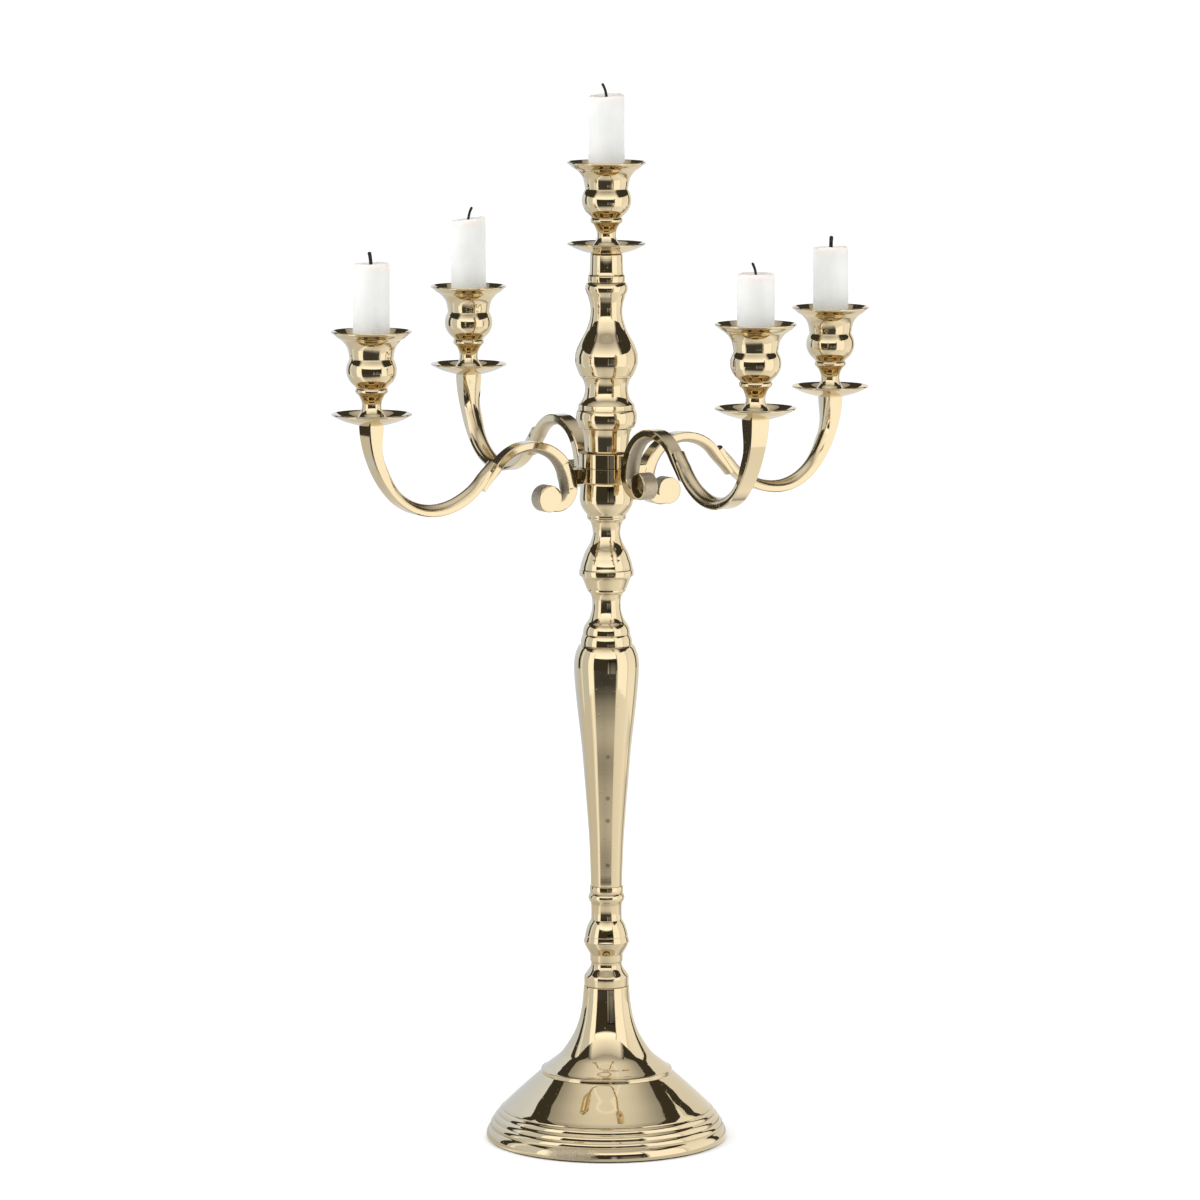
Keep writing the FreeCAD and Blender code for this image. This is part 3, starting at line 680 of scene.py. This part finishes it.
# outline across the arm: flat outer face, bevels, straight walls and a rounded inner side
def armSection(half, depth, wall):
    bevel, bend = arm["bevel"], arm["bendSteps"]
    middle = (depth ** 2 - half ** 2 - wall ** 2) / (2 * (depth - wall))
    sweep = math.atan2(half, wall - middle)
    section = [(-half, wall), (-half, bevel), (-half + bevel, 0), (half - bevel, 0), (half, bevel),
               (half, wall)]
    for k in range(1, bend):
        turn = sweep * (1 - 2 * k / bend)
        section.append((math.sin(turn) * (depth - middle), middle + math.cos(turn) * (depth - middle)))
    return section


# one scroll, swept along its stations
def sweepScroll(bm, cast, stations, shape):
    lengths = [0.0]
    for (a, _), (b, _) in zip(stations, stations[1:]):
        lengths.append(lengths[-1] + (b - a).length)
    rings = []
    for (place, inward), length in zip(stations, lengths):
        width, depth, wall, inside, outside = (eased(stops, length / lengths[-1]) for stops in shape.values())
        section = armSection(width / 2, depth, wall + arm["bevel"])
        ring = [bm.verts.new((place.x + inward.x * v, u, place.y + inward.y * v)) for u, v in section]
        for vert in ring[2:4]:
            vert[cast] = outside
        for vert in ring[6:]:
            vert[cast] = inside
        rings.append(ring)
    for near, far in zip(rings, rings[1:]):
        for k in range(len(near)):
            n = (k + 1) % len(near)
            bm.faces.new((near[k], near[n], far[n], far[k]))
    bm.faces.new(rings[0])
    bm.faces.new(list(reversed(rings[-1])))


# the round end of the scroll: rough round its rim, polished on its two flat faces
def sweepBall(bm, cast):
    r, half, bevel = arm["ballRadius"], arm["ballWidth"] / 2, arm["bevel"]
    hub = arm["archCentre"][0] - arm["archRadius"]
    centre = Vector((hub + arm["heelRadius"] + arm["ballOut"], 0,
                     arm["heelHeight"] - arm["heelRadius"] + arm["ballRadius"]))
    side = [(0, half), (r - 1.6, half), (r - bevel, half), (r - bevel * 0.3, half - bevel * 0.3),
            (r, half - bevel)]
    profile = side + [(radius, -u) for radius, u in reversed(side)]
    known = set(bm.verts)
    verts = [bm.verts.new(centre + Vector((radius, u, 0))) for radius, u in profile]
    edges = [bm.edges.new(pair) for pair in zip(verts, verts[1:])]
    bmesh.ops.spin(bm, geom=verts + edges, cent=centre, axis=(0, 1, 0), angle=2 * math.pi,
                   steps=arm["ballSteps"], use_merge=True)
    fresh = [vert for vert in bm.verts if vert not in known]
    bmesh.ops.remove_doubles(bm, verts=fresh, dist=1e-4)
    for vert in bm.verts:
        onRim = (vert.co - centre).length > r * 0.9 + half * 0.2 and abs(vert.co.y) < half - bevel / 2
        if vert not in known and onRim:
            vert[cast] = arm["ballCast"]


def makeArms(node, body, light, turn):
    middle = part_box("drip_pan_" + light)[0].z / mm - arm["seat"]
    bm = bmesh.new()
    cast = bm.verts.layers.float.new("cast")
    sweepScroll(bm, cast, firstScroll(), firstShape)
    sweepScroll(bm, cast, secondScroll(), secondShape)
    sweepBall(bm, cast)
    start = (arm["ringBore"] + arm["ringRadius"]) / 2
    end = arm["archCentre"][0] - arm["archRadius"] + arm["lugOverlap"]
    lug = bmesh.ops.create_cube(bm, size=1.0)["verts"]
    bmesh.ops.scale(bm, verts=lug, vec=(end - start, arm["lugWidth"], arm["ringHeight"]))
    bmesh.ops.translate(bm, verts=lug, vec=((start + end) / 2, 0, 0))
    bmesh.ops.rotate(bm, verts=bm.verts, cent=(0, 0, 0), matrix=Matrix.Rotation(turn, 3, "Z"))
    twin = bmesh.ops.duplicate(bm, geom=bm.verts[:] + bm.edges[:] + bm.faces[:])["geom"]
    fresh = [item for item in twin if isinstance(item, bmesh.types.BMVert)]
    bmesh.ops.rotate(bm, verts=fresh, cent=(0, 0, 0), matrix=Matrix.Rotation(math.pi, 3, "Z"))
    bmesh.ops.translate(bm, verts=bm.verts, vec=(0, 0, middle))
    bmesh.ops.scale(bm, verts=bm.verts, vec=(mm, mm, mm))
    half, inner, outer, edge = arm["ringHeight"] / 2, arm["ringBore"], arm["ringRadius"], arm["ringEdge"]
    ring = turnedMesh([(inner, middle - half), (outer - edge, middle - half), (outer, middle - half + edge),
                       (outer, middle + half - edge), (outer - edge, middle + half), (inner, middle + half)],
                      arm["ringSteps"], bevelWidth=0)
    mesh = bpy.data.meshes.new("ring")
    ring.to_mesh(mesh)
    ring.free()
    bm.from_mesh(mesh)
    bpy.data.meshes.remove(mesh)
    bmesh.ops.recalc_face_normals(bm, faces=bm.faces)
    shadeBySharpness(bm, arm["sharp"])
    piece = toPiece(bm, node + "_swept", castPlating, body, [node])
    normals = piece.modifiers.new("normals", "WEIGHTED_NORMAL")
    normals.keep_sharp = True
    normals.weight = 80


makeArms("lower_arm_pair", "lower_arms", "left", 0)
makeArms("upper_arm_pair", "upper_arms", "front", math.pi / 2)
print("arms finished")


# candles and wicks
candles = {
    # slant: height gained toward a direction; dip: depth of the melted bowl; ragged: uneven edge;
    # wick: the side it leans to as the camera sees it (-1 is left), its bend in degrees and its radius
    "middle": {"body": "candle_body_middle", "slant": 0.9, "toward": 60, "dip": 1.6, "ragged": 0.7, "seed": 3,
               "drips": 0.35, "wick": (-1, 32, 0.80)},
    "left": {"body": "candle_body_left", "slant": 0.3, "toward": 0, "dip": 1.0, "ragged": 0.25, "seed": 11,
             "drips": 0.30, "wick": (-1, 14, 1.05)},
    "back": {"body": "candle_body_back", "slant": 1.3, "toward": 0, "dip": 0.9, "ragged": 0.3, "seed": 23,
             "drips": 0.45, "wick": (1, 30, 0.80)},
    "front": {"body": "candle_body_front", "slant": 0.2, "toward": 90, "dip": 1.2, "ragged": 0.2, "seed": 31,
              "drips": 0.10, "wick": (-1, 30, 0.75)},
    "right": {"body": "candle_body_right", "slant": 0.3, "toward": 0, "dip": 3.2, "ragged": 0.8, "seed": 47,
              "drips": 0.25, "wick": (1, 4, 1.15)},
}


# lengths of a candle's burnt top, where its drips start over its foot, and the steps of its outline
burn = {"margin": 0.35, "rim": 1.6, "raggedRun": 4.5, "meltedFrom": 6.0, "meltedRun": 3.0, "dripsFrom": 25.0,
        "wallSteps": 28, "bowlSteps": 8, "turnSteps": 72}


def makeCandle(name, facts):
    low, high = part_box("candle_" + name)
    centre = ((low.x + high.x) / 2, (low.y + high.y) / 2)
    radius = (high.x - low.x) / 2 / mm
    foot, top = low.z / mm, high.z / mm - facts["slant"] - burn["margin"]
    steps = burn["wallSteps"]
    wall = [(radius, foot + 0.6 + (top - 1.4 - foot - 0.6) * k / steps) for k in range(steps + 1)]
    profile = [(0, foot), (radius - 0.6, foot)] + wall
    profile += [(radius - 0.25, top - 0.6), (radius - 0.9, top - 0.1), (radius - burn["rim"], top)]
    for k in range(1, burn["bowlSteps"] + 1):
        share = k / burn["bowlSteps"]
        dip = facts["dip"] * math.sin(share * math.pi / 2) ** 0.8
        profile.append(((radius - burn["rim"]) * (1 - share), top - dip))
    bm = turnedMesh(profile, burn["turnSteps"], bevelWidth=0, centre=centre)
    melted = bm.verts.layers.float.new("melted")
    turn = math.radians(facts["toward"])
    toward = towardRight * math.cos(turn) - towardCamera * math.sin(turn)
    for vert in bm.verts:
        offset = Vector((vert.co.x - centre[0], vert.co.y - centre[1], 0))
        height = vert.co.z / mm
        out = offset.length / (radius * mm)
        near = max(0.0, min(1.0, (height - (top - burn["raggedRun"])) / burn["raggedRun"]))
        vert[melted] = max(0.0, min(1.0, (height - (top - burn["meltedFrom"])) / burn["meltedRun"]))
        lift = facts["slant"] * (offset.dot(toward) / (radius * mm))
        at = Vector((offset.x, offset.y, 0)) * 190 + Vector((facts["seed"], 0, 0))
        ragged = noise.noise(at) * facts["ragged"] + noise.noise(at * 2.7) * facts["ragged"] * 0.5
        vert.co.z += (lift + (ragged if out > 0.8 else ragged * 0.3)) * near * mm
        if out > 0.95 and height > foot + burn["dripsFrom"]:
            drip = noise.noise(Vector((offset.x * 260 + facts["seed"], offset.y * 260, height * 0.035)))
            ripple = noise.noise(Vector((offset.x * 120, offset.y * 120 + facts["seed"], height * 0.16)))
            swell = max(0.0, drip) * facts["drips"] - abs(ripple) * facts["drips"] * 0.6 - 0.05
            vert.co.x += offset.x / offset.length * swell * mm
            vert.co.y += offset.y / offset.length * swell * mm
    bmesh.ops.recalc_face_normals(bm, faces=bm.faces)
    for edge in bm.edges:
        edge.smooth = True
    toPiece(bm, "candle_%s_wax" % name, candleWax, facts["body"], ["candle_" + name])
    return centre, top


strand = {"sides": 14, "steps": 14, "buried": 1.5, "margin": 0.4, "curl": 1.3, "wave": 0.035, "charred": 0.03,
          "charredSteps": 4, "tip": 0.55, "shake": 0.09}


# a short cotton tube that curves over, thicker where it is burnt and narrow at its tip
def makeWick(name, facts, centre, top):
    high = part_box("wick_" + name)[1]
    lean, bend, radius = facts["wick"]
    base = top - facts["dip"] - strand["buried"]
    length = high.z / mm - base - strand["margin"]
    bm = bmesh.new()
    ring = bmesh.ops.create_circle(bm, cap_ends=True, segments=strand["sides"], radius=radius * mm)["verts"]
    bmesh.ops.translate(bm, verts=ring, vec=(centre[0], centre[1], base * mm))
    steps = strand["steps"]
    face = bm.faces[:][0]
    for k in range(steps):
        extruded = bmesh.ops.extrude_face_region(bm, geom=[face])
        fresh = [item for item in extruded["geom"] if isinstance(item, bmesh.types.BMVert)]
        tilt = math.radians(bend) * ((k + 1) / steps) ** strand["curl"]
        rise = Matrix.Rotation(tilt * -lean, 3, towardCamera) @ Vector((0, 0, length * mm / steps))
        middle = sum((vert.co for vert in fresh), Vector()) / len(fresh)
        bmesh.ops.rotate(bm, verts=fresh, cent=middle,
                         matrix=Matrix.Rotation(math.radians(bend) / steps * -lean, 3, towardCamera))
        charred = strand["charred"] if k >= steps - strand["charredSteps"] else 0
        swell = strand["tip"] if k == steps - 1 else 1 + strand["wave"] * math.sin(k * 2.1) + charred
        bmesh.ops.scale(bm, verts=fresh, vec=(swell, swell, swell), space=Matrix.Translation(-middle))
        bmesh.ops.translate(bm, verts=fresh, vec=rise)
        face = [item for item in extruded["geom"] if isinstance(item, bmesh.types.BMFace)][0]
    bmesh.ops.recalc_face_normals(bm, faces=bm.faces)
    for vert in bm.verts:
        vert.co += noise.noise_vector(vert.co * 900) * strand["shake"] * mm
    for face in bm.faces:
        face.smooth = True
    toPiece(bm, "wick_%s_cotton" % name, burntCotton, facts["body"], ["wick_" + name])


for name, facts in candles.items():
    centre, top = makeCandle(name, facts)
    makeWick(name, facts, centre, top)
print("candles and wicks made")

# the hidden pieces stay as model.glb has them, in their own materials
hidden = {"base_felt": darkFelt}
for node in ("base_washer", "base_nut", "lower_rod", "hub_rod", "hub_sleeve", "top_rod"):
    hidden[node] = zincSteel
for name in lights:
    if name != "middle":
        hidden["cup_screw_" + name] = zincSteel
for node, material in hidden.items():
    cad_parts[node].data.materials.clear()
    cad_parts[node].data.materials.append(material)


# the studio: cards that only the metal mirrors, a pale floor, soft lights and the camera
brightest = 1.8


# a surface that glows in a tint, at a level between nothing and the brightest
def finishGlow(tree, level, tint):
    colour = tree.mixColour(level, (0.0, 0.0, 0.0), tint)
    glow = tree.add("ShaderNodeEmission", {}, {"Color": colour, "Strength": brightest})
    tree.add("ShaderNodeOutputMaterial", {}, {"Surface": glow})


# a card's glow, changing evenly from its bottom to its top; a raised card has a soft lower edge
def cardMaterial(name, low, high, bottom, top, tint):
    material, tree = newMaterial(name)
    height = tree.heightOf(tree.place())
    level = tree.add("ShaderNodeMapRange", {}, [height, bottom, top, low / brightest, high / brightest])
    fade = tree.attribute("fade")
    if bottom > 0:
        fade = fade * tree.range(height, bottom, bottom + 0.09)
    finishGlow(tree, level * fade, tint)
    return material


def toStage(bm, name, material):
    piece = newObject(bm, name, material)
    return piece


# seen in the metal only: it neither shows to the camera nor lights the room
def reflectionOnly(piece):
    piece.visible_camera = False
    piece.visible_diffuse = False
    piece.visible_shadow = False
    piece.visible_transmission = False
    piece.visible_volume_scatter = False


cards = {
    # start angle, end angle, lowest, highest, radius, glow at the bottom and at the top, faded sides
    "leftKey": (-67, -45, 0.0, 0.80, 0.90, 1.50, 1.50, 1.5),
    "leftWall": (-106, -67, 0.0, 0.80, 0.91, 0.80, 0.84, 0),
    "leftSeam": (-101, -95, 0.0, 0.80, 0.90, 1.15, 1.15, 0),
    "backLeftWall": (-180, -118, 0.0, 0.80, 0.95, 0.80, 1.05, 0),
    "frontStrip": (3, 11, 0.0, 0.58, 1.45, 0.60, 0.0, 3),
    "frontShade": (10, 36, 0.0, 0.58, 1.46, 0.28, 0.0, 6),
    "rightWall": (37, 82, 0.0, 0.80, 0.90, 1.42, 1.42, 4),
    "farRightWall": (80, 124, 0.0, 0.80, 0.91, 1.25, 1.12, 3),
    "backRightWall": (133, 180, 0.0, 0.80, 0.95, 0.88, 1.00, 0),
    "frontTop": (-66, 64, 0.68, 1.90, 1.25, 1.80, 0.60, 14),
}
warmTint = (1.0, 0.99, 0.975)
tints = {"backLeftWall": (0.86, 0.96, 1.15), "leftWall": (0.95, 1.0, 1.06), "leftSeam": (0.95, 1.0, 1.06)}


# an upright glowing card round the object, with faded sides; angles count from the camera's side
def makeCard(name, start, end, low, high, radius, lowGlow, highGlow, feather):
    bm = bmesh.new()
    first = sideways(start) * radius
    ends = [bm.verts.new((first.x, first.y, z)) for z in (low, high)]
    edge = bm.edges.new(ends)
    bmesh.ops.spin(bm, geom=ends + [edge], cent=(0, 0, 0), axis=(0, 0, 1), angle=math.radians(end - start),
                   steps=max(2, round((end - start) / 2)))
    fade = bm.verts.layers.float.new("fade")
    for vert in bm.verts:
        angle = math.degrees(math.atan2(vert.co.dot(towardRight), vert.co.dot(towardCamera)))
        inside = min((angle - start) % 360, (end - angle) % 360)
        vert[fade] = 1.0 if feather == 0 else min(1.0, inside / feather)
    material = cardMaterial(name + "Glow", lowGlow, highGlow, low, high, tints.get(name, warmTint))
    reflectionOnly(toStage(bm, name, material))


for name, facts in cards.items():
    makeCard(name, *facts)


def flatDisc(radius, height):
    bm = bmesh.new()
    bmesh.ops.create_circle(bm, cap_ends=True, segments=64, radius=radius)
    bmesh.ops.translate(bm, verts=bm.verts, vec=(0, 0, height))
    return bm


overhead = {"radius": 1.5, "height": 1.91, "glowRadius": 0.35, "centreGlow": 0.98, "edgeGlow": 0.42,
            "ringGlow": 0.1, "tint": (1.0, 0.985, 0.96)}


# a wide sheet above, brightest in the middle, with a lighter ring
def makeOverhead():
    material, tree = newMaterial("overheadGlow")
    out = tree.measure("LENGTH", tree.stretched(tree.place(), (1.0, 1.0, 0.0)))
    ring = tree.range(out, 0.33, 0.35) * tree.range(out, 0.37, 0.39, 1.0, 0.0)
    level = tree.range(out, overhead["glowRadius"], overhead["radius"], overhead["centreGlow"] / brightest,
                       overhead["edgeGlow"] / brightest)
    finishGlow(tree, level + ring * overhead["ringGlow"], overhead["tint"])
    reflectionOnly(toStage(flatDisc(overhead["radius"], overhead["height"]), "overhead", material))


makeOverhead()

floor = {"size": 9.0, "colour": (0.94, 0.94, 0.94), "paleColour": (0.96, 0.96, 0.96), "roughness": 0.9}


def makeFloor():
    bm = bmesh.new()
    bmesh.ops.create_grid(bm, x_segments=2, y_segments=2, size=floor["size"])
    material, tree = newMaterial("paleFloor")
    colour = tree.mixColour(tree.noise(tree.place(), 3.0, 2.0), floor["colour"], floor["paleColour"])
    finishMaterial(tree, {"Base Color": colour, "Roughness": floor["roughness"], "Specular IOR Level": 0.0})
    piece = toStage(bm, "floor", material)
    piece.visible_glossy = False


makeFloor()

# how bright the table looks in the metal, by the angle from the camera's side; its far part in front is dark
sheenByAngle = [(-180, 0.95), (-130, 0.72), (-100, 0.80), (-66, 0.80), (-54, 1.40), (-44, 0.92),
                (-10, 0.78), (20, 0.90), (45, 1.05), (78, 1.10), (95, 1.20), (116, 0.85), (128, 0.36),
                (136, 0.95), (180, 0.98)]
sheen = {"radius": 2.2, "height": 0.0004, "tint": (1.0, 0.99, 0.965), "frontDim": 0.92}


def makeSheen():
    material, tree = newMaterial("floorSheen")
    place = tree.place()
    out = tree.measure("LENGTH", place)
    ahead = tree.measure("DOT_PRODUCT", place, towardCamera)
    aside = tree.measure("DOT_PRODUCT", place, towardRight)
    turn = aside.math("ARCTAN2", ahead) / (2 * math.pi) + 0.5
    stops = [((angle + 180) / 360, glow / brightest) for angle, glow in sheenByAngle]
    level = tree.add("ShaderNodeValToRGB", {"stops": stops}, [turn])
    front = tree.range(turn, 0.372, 0.380) * tree.range(turn, 0.592, 0.604, 1.0, 0.0)
    dim = 1.0 - front * tree.range(out, 0.42, 0.95, 0.0, sheen["frontDim"])
    near = tree.range(out, 0.08, 0.34, 0.80, 1.0)
    finishGlow(tree, level * dim * near, sheen["tint"])
    reflectionOnly(toStage(flatDisc(sheen["radius"], sheen["height"]), "floorSheen", material))


makeSheen()

room = {"light": 1.12, "darkColour": (1.0, 0.88, 0.64), "dark": 0.055}


# white to the camera and for soft light; dark in reflections, where the cards stand
def makeWorld():
    world = bpy.data.worlds.new("studio")
    world.use_nodes = True
    bpy.context.scene.world = world
    tree = Tree(world)
    glossy = tree.add("ShaderNodeLightPath", {}, {}, output=3)
    white = tree.add("ShaderNodeBackground", {}, {"Color": (1.0, 1.0, 1.0), "Strength": room["light"]})
    dark = tree.add("ShaderNodeBackground", {}, {"Color": room["darkColour"], "Strength": room["dark"]})
    both = tree.add("ShaderNodeMixShader", {}, {0: glossy, 1: white, 2: dark})
    tree.add("ShaderNodeOutputWorld", {}, {"Surface": both})


makeWorld()

# a soft lamp at an angle from the camera's side; its power is in watts
lamps = {
    "keyLight": {"angle": -65, "distance": 2.0, "height": 1.3, "size": (0.9, 1.5), "power": 16},
    "fillLight": {"angle": 60, "distance": 2.2, "height": 1.2, "size": (1.4, 1.4), "power": 8},
}
lampTarget = Vector((0, 0, 0.3))


def makeLight(name, facts):
    lamp = bpy.data.lights.new(name, "AREA")
    lamp.shape = "RECTANGLE"
    lamp.size, lamp.size_y = facts["size"]
    lamp.energy = facts["power"]
    lamp.color = warmTint
    light = bpy.data.objects.new(name, lamp)
    light.location = sideways(facts["angle"]) * facts["distance"] + Vector((0, 0, facts["height"]))
    light.rotation_euler = (lampTarget - light.location).to_track_quat("-Z", "Y").to_euler()
    light.visible_camera = False
    light.visible_glossy = False
    bpy.context.scene.collection.objects.link(light)


for name, facts in lamps.items():
    makeLight(name, facts)

# the offset is how far right of the frame's middle the object stands, in parts of the frame's width
view = {"distance": 3.5, "height": 0.804, "pitch": 7.66, "lens": 174.2, "sensor": 36, "offset": 0.00542,
        "far": 50}


def makeCamera():
    lens = bpy.data.cameras.new("camera")
    lens.sensor_width = view["sensor"]
    lens.lens = view["lens"]
    lens.shift_x = -view["offset"]
    lens.clip_end = view["far"]
    camera = bpy.data.objects.new("camera", lens)
    camera.location = towardCamera * view["distance"] + Vector((0, 0, view["height"]))
    camera.rotation_euler = (math.radians(90 - view["pitch"]), 0, viewAzimuth)
    bpy.context.scene.collection.objects.link(camera)
    bpy.context.scene.camera = camera


makeCamera()
bpy.context.scene.view_settings.view_transform = "Standard"
bpy.context.scene.view_settings.look = "None"
print("studio and camera set")
